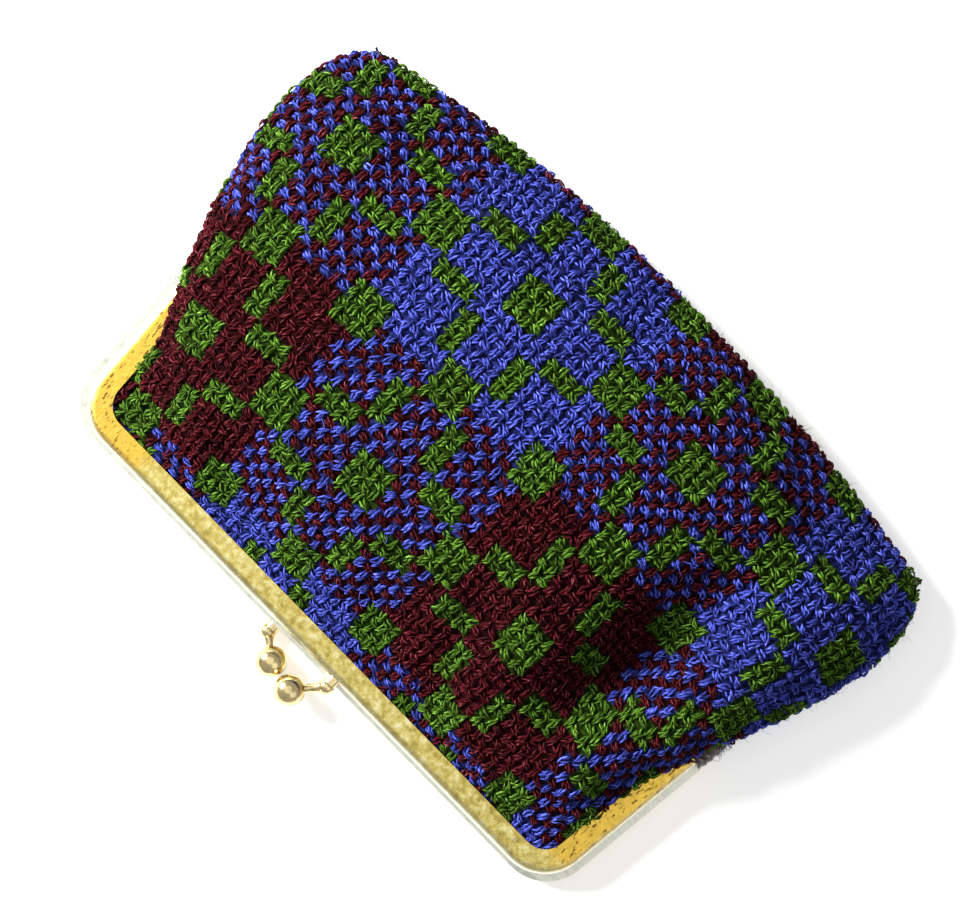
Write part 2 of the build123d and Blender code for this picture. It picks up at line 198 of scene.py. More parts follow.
def dents(x, y):
    """Hollows and ridges of the loosely filled front, in millimetres of height."""
    valley_x = 42 + 0.12 * y
    valley = -9.5 * np.exp(-((x - valley_x) / 7.5) ** 2) * np.exp(-((y - 1) / 20.0) ** 2)
    hinge_dip = -4.0 * np.exp(-((x - 50) / 9.0) ** 2 - ((y + 5) / 10.0) ** 2)
    ridge = 2.4 * np.exp(-((x - 60) / 6.5) ** 2) * np.exp(-((y - 18) / 17.0) ** 2)
    pleat = -1.1 * np.exp(-((x + 0.5 * y - 8) / 6.0) ** 2) * np.exp(-((y + 22) / 12.0) ** 2)
    soft = 0.6 * np.sin(x / 14.0 + 0.8) * np.sin(y / 12.0 + 0.3)
    left_dip = -1.4 * np.exp(-((x + 46) / 10.0) ** 2 - ((y - 30) / 14.0) ** 2)
    return valley + hinge_dip + ridge + pleat + soft + left_dip


def profile(samples):
    """Along the middle of the front: share of the way to the fold, height, and the y it starts at."""
    start_y = FRONT_INNER_Y - FRONT_TUCK
    bar_part = np.linspace(0, 1, samples // 2, endpoint=False)
    y_bar = start_y + (CROWN_Y - start_y) * bar_part
    rise = np.clip((y_bar - FRONT_INNER_Y) / (CROWN_Y - FRONT_INNER_Y), 0, 1)
    z_bar = BAR_Z + (CROWN_Z - BAR_Z) * (1 - (1 - rise) ** SECTION_POWER)
    turn = np.linspace(0, math.pi / 2, samples - samples // 2)
    y_fold = CROWN_Y + (FOLD_Y - CROWN_Y) * np.sin(turn) ** (2 / SECTION_POWER)
    z_fold = SEAM_Z + (CROWN_Z - SEAM_Z) * np.cos(turn) ** (2 / SECTION_POWER)
    y = np.concatenate((y_bar, y_fold))
    return (y - start_y) / (FOLD_Y - start_y), np.concatenate((z_bar, z_fold)), start_y


def fold_line(share):
    """Place of the bottom fold at a share of the half width: it sags in the middle."""
    end_y = np.where(share < 0, LEFT_CORNER_Y, RIGHT_CORNER_Y)
    return end_y + (FOLD_Y - end_y) * (1 - np.abs(share) ** CORNER_POWER)


def across(samples):
    """Places across the bag, from -1 at its left edge to 1 at its right."""
    return np.linspace(-1, 1, samples)


def front_surface(samples_along, samples_across, inset):
    """Points of the front, bar to fold, on a fine grid (along, across, xyz)."""
    share_y, crown, start_y = profile(samples_along)
    turn = across(samples_across) * math.pi / 2
    reach = np.sign(turn) * np.abs(np.sin(turn)) ** (2 / SECTION_POWER)
    dome = np.cos(turn) ** (2 / SECTION_POWER)
    rows = []
    for along, top in zip(share_y, crown):
        y = start_y + (fold_line(reach) - start_y) * along
        side = np.where(reach < 0, FRONT_LEFT(y), FRONT_RIGHT(y))
        edge = np.where(reach < 0, FRONT_EDGE_LEFT(y), FRONT_EDGE_RIGHT(y))
        x = side * reach
        z = edge + (top - edge) * dome
        # The dents fade out at the fold and where the cloth is still low over the bar.
        near_fold = np.clip((1 - along) / 0.12, 0, 1)
        near_bar = np.clip((top - 7) / 6, 0, 1)
        z = z + dents(x, y) * dome * near_fold * near_bar
        rows.append(np.stack([x, y, np.maximum(z, edge - 0.5)], axis=-1))
    if samples_along not in SETTLED:
        SETTLED[samples_along] = settle(np.array(rows))
    grid = SETTLED[samples_along]
    return offset(grid, -inset) if inset else grid


def back_surface(samples_along, samples_across, inset):
    """Points of the back, fold to rear bar, on a fine grid (along, across, xyz)."""
    turn = across(samples_across) * math.pi / 2
    reach = np.sign(turn) * np.abs(np.sin(turn)) ** (2 / BACK_POWER)
    flat = np.cos(turn) ** (2 / BACK_POWER)
    fold = fold_line(reach)
    roll_samples = samples_along // 4
    end_y = REAR_INNER_Y - BACK_TUCK
    rows = []
    for angle in np.linspace(0, math.pi / 2, roll_samples, endpoint=False):
        rows.append((fold - FOLD_RADIUS * (1 - math.cos(angle)), math.sin(angle)))
    for share in np.linspace(0, 1, samples_along - roll_samples):
        first = fold - FOLD_RADIUS
        rows.append((first + (end_y - first) * share, 1.0))
    grid = []
    for y, depth in rows:
        # Past the hinges the back is as wide as the front it is sewn to, and it rises to the fold.
        sewn = np.where(reach < 0, FRONT_LEFT(y), FRONT_RIGHT(y))
        past_hinge = np.clip((y - 1) / 4, 0, 1)
        near_fold = np.clip((y - 36) / 10, 0, 1)
        side = BACK_SIDE(y) * (1 - past_hinge) + sewn * past_hinge
        edge = BACK_EDGE(y) * (1 - near_fold) + SEAM_Z * near_fold
        z = edge - (edge - BACK_Z) * flat * depth
        grid.append(np.stack([side * reach, y, z], axis=-1))
    grid = np.array(grid)
    return offset(grid, -inset) if inset else grid


PINNED_EDGE = 3           # rows of the simulated grid that are sewn or clamped
SIMULATED_STEP = 3        # every third point of the surface is simulated
SETTLE_FRAMES = 16
MOST_MOVE = 1.0           # no point of the cloth moves further than this
SETTLED = {}              # the settled front for each number of samples, worked out once


def settle(grid):
    """Let the cloth ease and pucker a little between its sewn and clamped edges."""
    coarse = grid[::SIMULATED_STEP, ::SIMULATED_STEP]
    rows, columns = coarse.shape[:2]
    obj = new_mesh_object("settling", coarse.reshape(-1, 3), [grid_faces(rows, columns)], None)
    index = np.arange(rows * columns).reshape(rows, columns)
    edge = np.ones((rows, columns), bool)
    edge[PINNED_EDGE:-PINNED_EDGE, PINNED_EDGE:-PINNED_EDGE] = False
    obj.vertex_groups.new(name="pinned").add([int(number) for number in index[edge]], 1.0, "REPLACE")
    cloth = obj.modifiers.new("Cloth", "CLOTH")
    cloth.settings.vertex_group_mass = "pinned"
    cloth.settings.quality = 6
    cloth.settings.bending_stiffness = 2.0
    cloth.settings.shrink_min = -0.025
    cloth.settings.use_pressure = True
    cloth.settings.uniform_pressure_force = 2.0
    cloth.settings.effector_weights.gravity = 0
    for step in range(1, SETTLE_FRAMES + 1):
        bpy.context.scene.frame_set(step)
    evaluated = obj.evaluated_get(bpy.context.evaluated_depsgraph_get())
    moved = np.empty(rows * columns * 3)
    evaluated.data.vertices.foreach_get("co", moved)
    bpy.data.objects.remove(obj)
    bpy.context.scene.frame_set(1)
    move = moved.reshape(rows, columns, 3) / MM - coarse
    far = np.linalg.norm(move, axis=-1, keepdims=True)
    move *= np.minimum(1, MOST_MOVE / np.maximum(far, 1e-6))
    row_at = np.arange(grid.shape[0]) / SIMULATED_STEP
    column_at = np.arange(grid.shape[1]) / SIMULATED_STEP
    full = np.empty_like(grid)
    for axis in range(3):
        wide = np.array([np.interp(column_at, np.arange(columns), line) for line in move[..., axis]])
        full[..., axis] = np.array([np.interp(row_at, np.arange(rows), line) for line in wide.T]).T
    return grid + full


def unit(vectors):
    """Vectors brought to a length of one."""
    return vectors / np.maximum(np.linalg.norm(vectors, axis=-1, keepdims=True), 1e-9)


def normals(grid):
    """Unit normals of a grid of points, pointing out of the bag."""
    return unit(np.cross(np.gradient(grid, axis=1), np.gradient(grid, axis=0)))


def offset(grid, distance):
    """The grid moved along its normals."""
    return grid + normals(grid) * distance


def travelled(line):
    """Distance from the start of a polyline to each of its points."""
    steps = np.linalg.norm(np.diff(line, axis=0), axis=1)
    return np.concatenate(([0], np.cumsum(steps)))


def resample(line, places):
    """Points of a polyline at distances from its start, kept to its ends, and its length."""
    distance = travelled(line)
    points = [np.interp(places, distance, line[:, axis]) for axis in range(3)]
    return np.stack(points, axis=-1), distance[-1]


def lay_threads(fine, first_row, places, warp_pitch, half_count, middle):
    """Net of yarns on a fine surface: wefts at places along each column, warps along each weft.

    Returns points (weft, warp, xyz) and whether each one lies on the cloth."""
    columns = fine.shape[1]
    count = len(places)
    on_front = first_row < 0
    rows = np.empty((count, columns, 3))
    inside_rows = np.empty((count, columns), bool)
    for column, share in enumerate(across(columns)):
        own = places - WEFT_SKEW * share * np.clip(1 - (np.arange(count) + first_row) / STRIPE, 0, 1)
        if on_front:
            bowed = abs(math.sin(share * math.pi / 2)) ** (4 / SECTION_POWER)
            own -= WEFT_ARCH * share ** 2 * np.clip(places, 0, None)
            own -= WEFT_DROOP * bowed * np.clip((DROOP_FADE[0] - places) / DROOP_FADE[1], 0, 1)
        rows[:, column], length = resample(fine[:, column], own)
        inside_rows[:, column] = (own > -EDGE_REACH) & (own < length + EDGE_REACH)
    net = np.empty((count, 2 * half_count + 1, 3))
    inside = np.empty((count, 2 * half_count + 1), bool)
    for row in range(count):
        line = rows[row]
        distance = travelled(line)
        centre = np.interp(middle, line[:, 0], distance)
        pitch = warp_pitch * (1 + WARP_FAN * (row + first_row))
        numbers = np.arange(-half_count, half_count + 1)
        pull = RIGHT_PULL * np.clip((row + first_row - 10) / 10, 0, 1) * np.clip(numbers / 8, 0, 1)
        wanted = centre + pitch * numbers - pull
        net[row], length = resample(line, wanted)
        inside[row] = (wanted > -0.1 * pitch) & (wanted < length + 0.1 * pitch)
        inside[row] &= np.interp(wanted, distance, inside_rows[row].astype(float)) > 0.5
    return net, inside


# ---- the double weave -----------------------------------------------------------------------
# Twenty yarns each way: S and T are green squares, D, A and C step the pattern between them.
ORDER = "SSSSDDDDAATTTTCCDDDD"
STRIPE = 20
STRIPE_START = 2


def shows_green(column, row):
    """Whether the plain green layer is on the face at a crossing."""
    warp = ORDER[column % STRIPE]
    weft = ORDER[row % STRIPE]
    if warp in "ST" and weft in "ST":
        return True
    return (warp == "D" and weft in "AC") or (warp in "AC" and weft == "D")


def striped(number, first_is_blue):
    """Colour of a yarn in the striped layer, which changes every twenty yarns."""
    odd = ((number - STRIPE_START) // STRIPE) % 2
    return "blue" if bool(odd) == first_is_blue else "maroon"


def yarn_at(column, row):
    """Colour of the float at a crossing and whether it is a warp float."""
    is_warp = (column + row) % 2 == 0
    if shows_green(column, row):
        return "green", is_warp
    return (striped(column, True) if is_warp else striped(row, True)), is_warp


# ---- mesh helpers ---------------------------------------------------------------------------

def new_mesh_object(name, points, faces, material, uv=None, smooth=True):
    """Mesh object from points in millimetres and faces as lists of equal-length index rows."""
    mesh = bpy.data.meshes.new(name)
    mesh.vertices.add(len(points))
    mesh.vertices.foreach_set("co", (np.asarray(points, float) * MM).ravel())
    sizes = np.concatenate([np.full(len(block), block.shape[1], np.int32) for block in faces])
    loops = np.concatenate([block.ravel() for block in faces]).astype(np.int32)
    mesh.loops.add(len(loops))
    mesh.loops.foreach_set("vertex_index", loops)
    mesh.polygons.add(len(sizes))
    mesh.polygons.foreach_set("loop_start", np.concatenate(([0], np.cumsum(sizes)[:-1])).astype(np.int32))
    mesh.polygons.foreach_set("use_smooth", np.full(len(sizes), smooth))
    mesh.update(calc_edges=True)
    if uv is not None:
        layer = mesh.uv_layers.new(name="yarn")
        layer.data.foreach_set("uv", np.asarray(uv, np.float32).ravel())
    mesh.validate()
    obj = bpy.data.objects.new(name, mesh)
    bpy.context.collection.objects.link(obj)
    if material:
        mesh.materials.append(material)
    return obj


def grid_faces(rows, columns, first=0):
    """Quads of a grid of points."""
    index = first + np.arange(rows * columns).reshape(rows, columns)
    return np.stack([index[:-1, :-1], index[:-1, 1:], index[1:, 1:], index[1:, :-1]], axis=-1).reshape(-1, 4)


def sheet_object(name, grid, thickness, material):
    """Closed thin sheet on a grid of points, thickened inwards."""
    rows, columns = grid.shape[:2]
    inner = offset(grid, -thickness)
    count = rows * columns
    points = np.concatenate([grid.reshape(-1, 3), inner.reshape(-1, 3)])
    outer_faces = grid_faces(rows, columns)
    inner_faces = grid_faces(rows, columns, count)[:, ::-1]
    index = np.arange(count).reshape(rows, columns)
    border = np.concatenate([index[0, :], index[1:, -1], index[-1, -2::-1], index[-2:0:-1, 0]])
    after = np.roll(border, -1)
    rim = np.stack([border, border + count, after + count, after], axis=-1)
    return new_mesh_object(name, points, [outer_faces, inner_faces, rim], material)


RING = 4                  # points round a strand
RINGS = 4                 # rings along a strand
STRANDS = 5               # strands in one float of yarn
FLOAT_LENGTH = 1.36       # length of a float, as a share of the pitch it crosses
YARN_STRAY = 0.06         # how far single floats stray from the even net
YARN_SINK = 0.1           # how far a float's ends sink below the net
ABOVE_FLOOR = 0.02        # yarns and hairs are kept this far above the floor
HAIR_ABOVE_FLOOR = 0.05
HAIR_RISE = 0.55          # hairs leave the yarn this far above the net
HAIR_SCATTER = 0.45
UV_SPREAD = 40            # strands start anywhere in this length of the yarn's shading


def tube_faces(count, rings, ring):
    """Quads and end caps of many equal tubes whose points run ring by ring."""
    base = (np.arange(count) * rings * ring)[:, None, None]
    start = np.arange(rings - 1)[None, :, None] * ring
    step = np.arange(ring)[None, None, :]
    following = (step + 1) % ring
    quads = np.stack([base + start + step, base + start + following,
                      base + start + ring + following, base + start + ring + step], axis=-1)
    first_caps = base[:, :, 0] + np.arange(ring)[None, ::-1]
    last_caps = base[:, :, 0] + (rings - 1) * ring + np.arange(ring)[None, :]
    return quads.reshape(-1, 4), np.concatenate([first_caps, last_caps])


def tube_uv(count, rings, ring, shift):
    """Coordinates along and round many tubes, each from its own starting place."""
    t = np.linspace(0, 1, rings)
    corner_u = np.stack([t[:-1], t[:-1], t[1:], t[1:]], axis=-1)[None, :, None, :]
    turn = np.arange(ring)
    corner_v = np.stack([turn, turn + 1, turn + 1, turn], axis=-1)[None, None, :, :] / ring
    shape = (count, rings - 1, ring, 4)
    u = np.broadcast_to(corner_u, shape) + shift[:, None, None, None]
    return np.stack([u, np.broadcast_to(corner_v, shape)], axis=-1).reshape(-1, 2)


def float_mesh(centres, direction, flank, normal, sizes, rng):
    """Yarn floats: slanted strands laid over an arch that rises from the cloth and dives back in."""
    count = len(centres)
    length = sizes["length"]
    width = sizes["width"]
    t = np.linspace(-1, 1, RINGS)
    phi = np.arange(RING) / RING * 2 * math.pi
    taper = np.interp(np.abs(t), [0, 0.4, 1], [1.0, 0.95, 0.22])
    loft = sizes["height"] * (1 + 0.15 * rng.standard_normal(count))
    points = np.empty((count, STRANDS, RINGS, RING, 3))
    for strand in range(STRANDS):
        place = (strand - (STRANDS - 1) / 2) / STRANDS
        middle_along = length * place * 0.72 + 0.12 * rng.standard_normal(count)
        middle_across = width * (0.24 if strand % 2 else -0.24) + 0.09 * rng.standard_normal(count)
        slant = sizes["slant"] + 0.30 * rng.standard_normal(count)
        reach = length * rng.uniform(0.40, 0.78, count)
        radius = sizes["strand"] * rng.uniform(0.65, 1.15, count)
        run = direction * np.cos(slant)[:, None] + flank * np.sin(slant)[:, None]
        aside = np.cross(normal, run)
        for ring in range(RINGS):
            step = t[ring] * reach / 2
            along = middle_along + step * np.cos(slant)
            across_yarn = middle_across + step * np.sin(slant)
            arch = np.cos(np.clip(along / length * 2, -1.1, 1.1) * math.pi * 0.56) * loft
            dome = np.sqrt(np.clip(1 - (across_yarn / (width * 0.62)) ** 2, 0, 1)) * width * 0.25
            centre = (centres + direction * along[:, None] + flank * across_yarn[:, None]
                      + normal * (arch + dome)[:, None])
            size = (radius * taper[ring])[:, None]
            out = np.cos(phi)[None, :] * size
            up = np.sin(phi)[None, :] * size
            points[:, strand, ring] = (centre[:, None] + aside[:, None] * out[..., None]
                                       + normal[:, None] * up[..., None])
    quads, caps = tube_faces(count * STRANDS, RINGS, RING)
    shift = rng.uniform(0, UV_SPREAD, count * STRANDS)
    uv_caps = np.zeros((caps.size, 2))
    return points.reshape(-1, 3), quads, caps, tube_uv(count * STRANDS, RINGS, RING, shift), uv_caps


FIBRE_STEPS = 4


def fibre_mesh(roots, normal, rng, thickness=1.0):
    """Stray wool hairs: thin three-sided tapered strands that curl off the yarn."""
    count = len(roots)
    heading = rng.standard_normal((count, 3)) * 0.8 + normal * 0.45
    heading /= np.linalg.norm(heading, axis=1, keepdims=True)
    curl = rng.standard_normal((count, 3)) * 0.9
    length = rng.uniform(0.7, 1.0, count) * rng.choice((1.0, 1.6, 3.0), count, p=(0.5, 0.35, 0.15))
    path = [roots]
    for _step in range(FIBRE_STEPS - 1):
        path.append(path[-1] + heading * (length / (FIBRE_STEPS - 1))[:, None])
        heading = heading + curl * 0.4 + rng.standard_normal((count, 3)) * 0.12
        heading /= np.linalg.norm(heading, axis=1, keepdims=True)
    path = np.stack(path, axis=1)
    radius = np.linspace(0.050, 0.018, FIBRE_STEPS) * thickness
    side = np.cross(heading, rng.standard_normal((count, 3)))
    side /= np.linalg.norm(side, axis=1, keepdims=True)
    other = np.cross(heading, side)
    corners = np.arange(3) / 3 * 2 * math.pi
    points = np.empty((count, FIBRE_STEPS, 3, 3))
    for corner, angle in enumerate(corners):
        spoke = side * math.cos(angle) + other * math.sin(angle)
        points[:, :, corner] = path + spoke[:, None] * radius[None, :, None]
    quads, ends = tube_faces(count, FIBRE_STEPS, 3)
    return points.reshape(-1, 3), quads, ends


# ---- materials ------------------------------------------------------------------------------

def new_material(name, **values):
    """Material with a Principled shader whose constant values are set on its own sockets."""
    material = bpy.data.materials.new(name)
    material.use_nodes = True
    shader = material.node_tree.nodes["Principled BSDF"]
    for key, value in values.items():
        shader.inputs[key.replace("_", " ")].default_value = value
    return material, material.node_tree, shader


def add_node(tree, kind, inputs=None, **settings):
    """Shader node with settings and input values; a linked input is given as a socket."""
    node = tree.nodes.new(kind)
    for key, value in settings.items():
        setattr(node, key, value)
    for key, value in (inputs or {}).items():
        if isinstance(value, bpy.types.NodeSocket):
            tree.links.new(value, node.inputs[key])
        else:
            node.inputs[key].default_value = value
    return node


def coordinates(tree, scale=(1, 1, 1), uv=None, rotation=(0, 0, 0)):
    """Object or UV coordinates through a mapping."""
    if uv:
        source = add_node(tree, "ShaderNodeUVMap", uv_map=uv).outputs[0]
    else:
        source = add_node(tree, "ShaderNodeTexCoord").outputs["Object"]
    mapping = add_node(tree, "ShaderNodeMapping", {"Vector": source, "Scale": scale, "Rotation": rotation})
    return mapping.outputs[0]


def ramp(tree, factor, stops):
    """Colour ramp with (place, colour) stops."""
    node = add_node(tree, "ShaderNodeValToRGB", {"Fac": factor})
    elements = node.color_ramp.elements
    while len(elements) < len(stops):
        elements.new(0.5)
    for element, (place, colour) in zip(elements, stops):
        element.position = place
        element.color = (*colour[:3], 1)
    return node.outputs[0]


def mixed(tree, factor, first, second, blend_type="MIX"):
    """Mix of two colours."""
    node = add_node(tree, "ShaderNodeMix", data_type="RGBA", blend_type=blend_type)
    for socket, value in ((node.inputs[0], factor), (node.inputs[6], first), (node.inputs[7], second)):
        if isinstance(value, bpy.types.NodeSocket):
            tree.links.new(value, socket)
        else:
            socket.default_value = value if isinstance(value, float) else (*value[:3], 1)
    return node.outputs[2]


def shade(colour, amount):
    """Colour made darker or lighter."""
    return tuple(min(1.0, part * amount) for part in colour)


def noise(tree, vector, **values):
    """Value of a noise texture."""
    return add_node(tree, "ShaderNodeTexNoise", {"Vector": vector, "Scale": 1.0, **values}).outputs["Fac"]


def relief(tree, height, strength, distance, **under):
    """Bumped normal, over another one if it is given."""
    return add_node(tree, "ShaderNodeBump", {"Height": height, "Strength": strength, "Distance": distance,
                                             **under}).outputs[0]


def graded(tree, value, start, end, low=0.0, high=1.0):
    """Value that runs from low to high while the input runs from start to end."""
    return add_node(tree, "ShaderNodeMapRange", {"Value": value, "From Min": start, "From Max": end,
                                                 "To Min": low, "To Max": high}).outputs[0]


def worked_out(tree, operation, *values):
    """Result of a sum on one or two values."""
    return add_node(tree, "ShaderNodeMath", dict(enumerate(values)), operation=operation).outputs[0]


def finish_surface(tree, shader, colour, normal, roughness=None):
    """Lead the worked-out colour, normal and roughness into the shader."""
    tree.links.new(colour, shader.inputs["Base Color"])
    tree.links.new(normal, shader.inputs["Normal"])
    if roughness:
        tree.links.new(roughness, shader.inputs["Roughness"])


BLACK = (0, 0, 0)
WHITE = (1, 1, 1)


def wool_material(name, colour):
    """Fuzzy twisted wool: shaded fibres along each strand, pale where the light catches a fibre."""
    material, tree, shader = new_material(
        name, Roughness=0.8, Sheen_Weight=0.10, Sheen_Roughness=0.4,
        Sheen_Tint=(*shade(colour, 2.2), 1), Specular_IOR_Level=0.06)
    fibres = noise(tree, coordinates(tree, (1.1, 5, 1), "yarn", (0, 0, 0.2)), Detail=4.0, Roughness=0.62)
    dye = noise(tree, coordinates(tree, (420, 420, 420)))
    pale = tuple(min(1.0, part * 3.5 + 0.06) for part in colour)
    tones = ramp(tree, fibres, [
        (0.37, shade(colour, 0.16)), (0.48, shade(colour, 0.80)), (0.56, shade(colour, 1.8)),
        (0.66, pale)])
    uneven = ramp(tree, dye, [(0.3, (0.55, 0.55, 0.55)), (0.7, (1.4, 1.4, 1.4))])
    finish_surface(tree, shader, mixed(tree, 1.0, tones, uneven, "MULTIPLY"),
                   relief(tree, fibres, 0.6, 0.00018))
    return material


def gap_shade_material(name, colour):
    """Painted shade between the yarns: dark tones of the yarn's colour on the inside of the double weave,
    seen only between the yarns.
    """
    material, tree, shader = new_material(name, Roughness=0.95, Specular_IOR_Level=0.05)
    speck = noise(tree, coordinates(tree, (1500, 1500, 1500)))
    # Painted shade: two dark copies of the yarn's colour.
    tones = ramp(tree, speck, [(0.38, shade(colour, 0.05)), (0.62, shade(colour, 0.36))])
    finish_surface(tree, shader, tones, relief(tree, speck, 0.4, 0.0002))
    return material


def lining_material(colour):
    """Glossy brown satin with fine threads and soft creases, with painted shade in the creases' hollows and
    a painted sheen on their crests.
    """
    material, tree, shader = new_material(
        "lining_satin", Roughness=0.34, Sheen_Weight=0.25, Sheen_Roughness=0.3, Specular_IOR_Level=0.55)
    threads = add_node(tree, "ShaderNodeTexWave", {"Vector": coordinates(tree), "Scale": 900.0,
                                                   "Distortion": 0.6, "Detail": 1.0}).outputs["Fac"]
    creases = noise(tree, coordinates(tree, (60, 220, 90)), Detail=3.0)
    # Painted shade and sheen: darker where the creases sink, lighter where they rise.
    tones = ramp(tree, creases, [(0.3, shade(colour, 0.55)), (0.7, shade(colour, 1.7))])
    fine = relief(tree, threads, 0.15, 0.0001)
    finish_surface(tree, shader, tones, relief(tree, creases, 0.6, 0.0012, Normal=fine))
    return material


def gilt_material(name, gilt, rubbed_and_reflecting, silver_face):
    """Worn gold plating: mottled bar, dark scratch flecks, pale rims that are partly rubbed plating and
    partly a painted reflection of the bright room, and a bare grey corner.
    """
    material, tree, shader = new_material(name, Metallic=1.0)
    place = add_node(tree, "ShaderNodeTexCoord").outputs["Object"]
    axes = add_node(tree, "ShaderNodeSeparateXYZ", {"Vector": place}).outputs
    tarnish = noise(tree, coordinates(tree, (560, 560, 560)), Detail=7.0, Roughness=0.72)
    flecks = noise(tree, coordinates(tree, (1900, 560, 1200), None, (0, 0, 0.7)), Detail=3.0, Roughness=0.6)
    scratches = noise(tree, coordinates(tree, (420, 3000, 900), None, (0, 0, 0.6)), Detail=3.0)
    # The bar is dulled to khaki; the left corner and the legs keep the bright yellow.
    on_leg = graded(tree, axes["Y"], -0.0385, -0.0350)
    on_left_corner = graded(tree, axes["X"], -0.0440, -0.0475)
    off_bar = worked_out(tree, "MAXIMUM", on_leg, on_left_corner)
    dull_gilt = (0.50, 0.40, 0.105)
    bar_tone = ramp(tree, tarnish, [
        (0.34, shade(dull_gilt, 0.55)), (0.46, dull_gilt), (0.54, (0.64, 0.55, 0.19)),
        (0.66, (0.84, 0.78, 0.46))])
    leg_tone = ramp(tree, tarnish, [(0.3, shade(gilt, 0.72)), (0.55, gilt)])
    fleck_mask = ramp(tree, flecks, [(0.385, WHITE), (0.415, BLACK)])
    flecked = mixed(tree, fleck_mask, leg_tone, (0.16, 0.085, 0.02))
    faces = mixed(tree, off_bar, bar_tone, flecked)
    # The rear frame's upward face, or the front frame's steep edges, turn pale silvery by the way they face:
    # a painted reflection of the bright room, over plating rubbed at the rims.
    normal = add_node(tree, "ShaderNodeNewGeometry").outputs["Normal"]
    normal_z = add_node(tree, "ShaderNodeSeparateXYZ", {"Vector": normal}).outputs["Z"]
    if silver_face:
        edge_mask = ramp(tree, normal_z, [(0.45, BLACK), (0.75, WHITE)])
    else:
        edge_mask = ramp(tree, worked_out(tree, "ABSOLUTE", normal_z), [(0.55, WHITE), (0.995, BLACK)])
    # Painted reflection on the rims, broken up by the rubbed metal's scratches.
    pale = mixed(tree, scratches, shade(rubbed_and_reflecting, 0.75), shade(rubbed_and_reflecting, 1.25))
    with_edge = mixed(tree, edge_mask, faces, pale)
    # The corner at the right of the bar is rubbed to bare grey metal.
    on_right = graded(tree, axes["X"], 0.050, 0.060)
    by_bar = graded(tree, axes["Y"], -0.0405, -0.0440)
    right_corner = worked_out(tree, "MULTIPLY", on_right, by_bar)
    rubbed = ramp(tree, worked_out(tree, "MULTIPLY", right_corner, tarnish), [(0.16, BLACK), (0.40, WHITE)])
    grey = mixed(tree, scratches, (0.05, 0.07, 0.065), (0.46, 0.48, 0.42))
    fine = relief(tree, scratches, 0.3, 0.00006)
    worked = relief(tree, tarnish, 0.5, 0.00025, Normal=fine)
    dullness = graded(tree, tarnish, 0.3, 0.7, 0.44, 0.24)
    finish_surface(tree, shader, mixed(tree, rubbed, with_edge, grey), worked, dullness)
    return material


def polished_material(name, colour, roughness):
    """Polished plated metal with faint handling marks."""
    material, tree, shader = new_material(name, Metallic=1.0)
    marks = noise(tree, coordinates(tree, (500, 500, 500)), Detail=4.0)
    tones = ramp(tree, marks, [(0.32, shade(colour, 0.62)), (0.5, colour), (0.75, shade(colour, 1.1))])
    finish_surface(tree, shader, tones, relief(tree, marks, 0.12, 0.00005),
                   graded(tree, marks, 0, 1, roughness, roughness + 0.16))
    return material


def thread_material(name, colour):
    """Twisted thread or paper cord with a fine spiral, with painted shade in the grooves between its plies.
    """
    material, tree, shader = new_material(name, Roughness=0.8, Sheen_Weight=0.2)
    turned = coordinates(tree, (1, 1, 1), None, (0.5, 0.5, 0.6))
    plies = add_node(tree, "ShaderNodeTexWave", {"Vector": turned, "Scale": 700.0, "Distortion": 1.0})
    # Painted shade: darker in the spiral's grooves, lighter on its ridges.
    tones = ramp(tree, plies.outputs["Fac"], [(0.2, shade(colour, 0.6)), (0.8, shade(colour, 1.15))])
    finish_surface(tree, shader, tones, relief(tree, plies.outputs["Fac"], 0.5, 0.0001))
    return material


def follow_mouth(obj):
    """Bake the placement of a piece of the front into its mesh."""
    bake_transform(obj)


FINE_ALONG = 160          # points along and across a side's surface
FINE_ACROSS = 240
HALF_COUNT = 42           # warps on each side of the middle one
FIRST_ROW = -3            # number of the first weft, under the bar
FRONT_ROWS = 44           # number of the first weft on the back
MIDDLE_X = 3.0            # place of the middle warp


def along_middle(fine):
    """Distances along the middle of a surface, and the y of each of its points."""
    middle = fine[:, FINE_ACROSS // 2]
    return travelled(middle), middle[:, 1]


def woven_side(side):
    """Net of crossings of the front or the back, with the number of its first weft."""
    sizes = bpy.context.scene.purse_sizes
    warp = sizes.warp_pitch / MM
    weft = sizes.weft_pitch / MM
    front = front_surface(FINE_ALONG, FINE_ACROSS, 0)
    distance, y = along_middle(front)
    numbers = np.arange(FIRST_ROW, FRONT_ROWS)
    places = np.interp(WEFT_PLACES(numbers), y, distance)
    if side == "front":
        net, inside = lay_threads(front, FIRST_ROW, places, warp, HALF_COUNT, MIDDLE_X)
        return net, inside, FIRST_ROW
    fine = back_surface(FINE_ALONG, FINE_ACROSS, 0)
    length = along_middle(fine)[0][-1]
    places = np.arange(places[-1] + weft - distance[-1], length, weft)
    net, inside = lay_threads(fine, FRONT_ROWS, places, warp, HALF_COUNT, MIDDLE_X)
    return net, inside, FRONT_ROWS


def woven_floats(inside, first_row):
    """Crossings that lie on the cloth, as (row, column, is a warp float), for each colour."""
    groups = {"blue": [], "maroon": [], "green": []}
    for row, column in np.argwhere(inside):
        colour, is_warp = yarn_at(column - HALF_COUNT, row + first_row)
        groups[colour].append((row, column, is_warp))
    return groups


